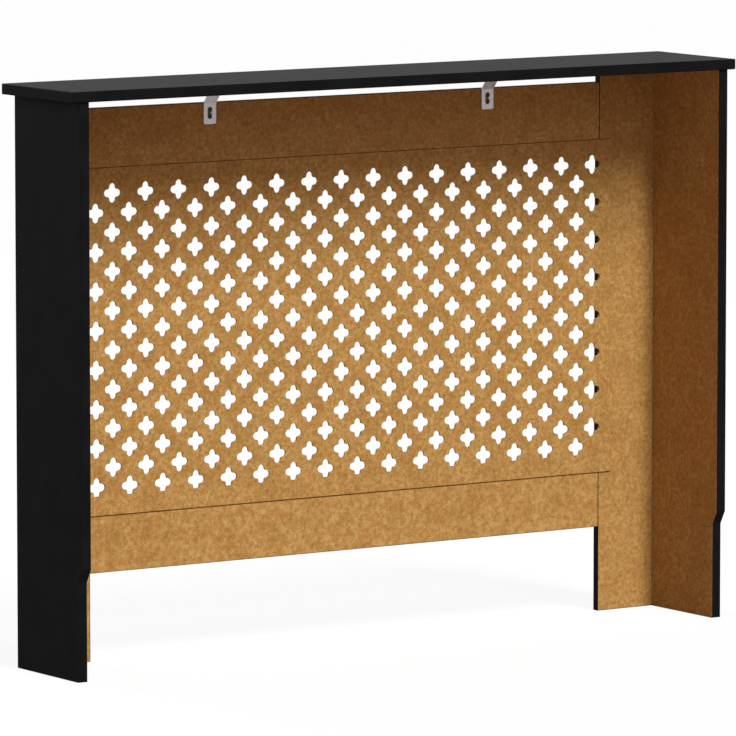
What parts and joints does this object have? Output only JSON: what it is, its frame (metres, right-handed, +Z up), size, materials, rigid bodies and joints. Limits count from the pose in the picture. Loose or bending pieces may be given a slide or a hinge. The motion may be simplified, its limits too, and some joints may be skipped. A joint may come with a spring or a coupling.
{
  "type": "radiator cover cabinet",
  "caption": "Floor-standing board cabinet that covers a wall radiator, open behind and below, with a pierced front grille and a vent slot under the top.",
  "frame": {"origin": "on the floor under the middle of the top panel's width and depth", "axes": "+Z up, -Y out of the grille into the room, +Y towards the wall, +X to the right of someone who faces the grille"},
  "size_m": [1.12, 0.19, 0.815],
  "materials": {
    "painted_board": "matt black paint over medium-density fibreboard",
    "half_painted_board": "bare fibreboard on the faces inside the cabinet, matt black paint on the front, outer faces and edges",
    "zinc_plated_steel": "bent strap, bright zinc plating",
    "blackened_steel": "black phosphate screws",
    "brad_steel": "dull dark wire",
    "beech_dowel": "plain beech, unseen inside the joints"
  },
  "bodies": {
    "root": {"bracket_left": "zinc_plated_steel", "bracket_right": "zinc_plated_steel", "grille_brads_left": "brad_steel", "grille_brads_lower": "brad_steel", "grille_brads_right": "brad_steel", "grille_brads_upper": "brad_steel", "grille_panel": "half_painted_board", "lower_rail": "half_painted_board", "lower_rail_dowels_left": "beech_dowel", "lower_rail_dowels_right": "beech_dowel", "rail_screws_left": "blackened_steel", "rail_screws_right": "blackened_steel", "side_panel_left": "half_painted_board", "side_panel_right": "half_painted_board", "side_top_dowels_left": "beech_dowel", "side_top_dowels_right": "beech_dowel", "stile_head_dowels_left": "beech_dowel", "stile_head_dowels_right": "beech_dowel", "stile_left": "half_painted_board", "stile_right": "half_painted_board", "stile_side_dowels_left": "beech_dowel", "stile_side_dowels_right": "beech_dowel", "top_panel": "painted_board", "top_screws_left": "blackened_steel", "top_screws_right": "blackened_steel", "upper_rail": "half_painted_board", "upper_rail_dowels_left": "beech_dowel", "upper_rail_dowels_right": "beech_dowel"}
  },
  "joints": []
}
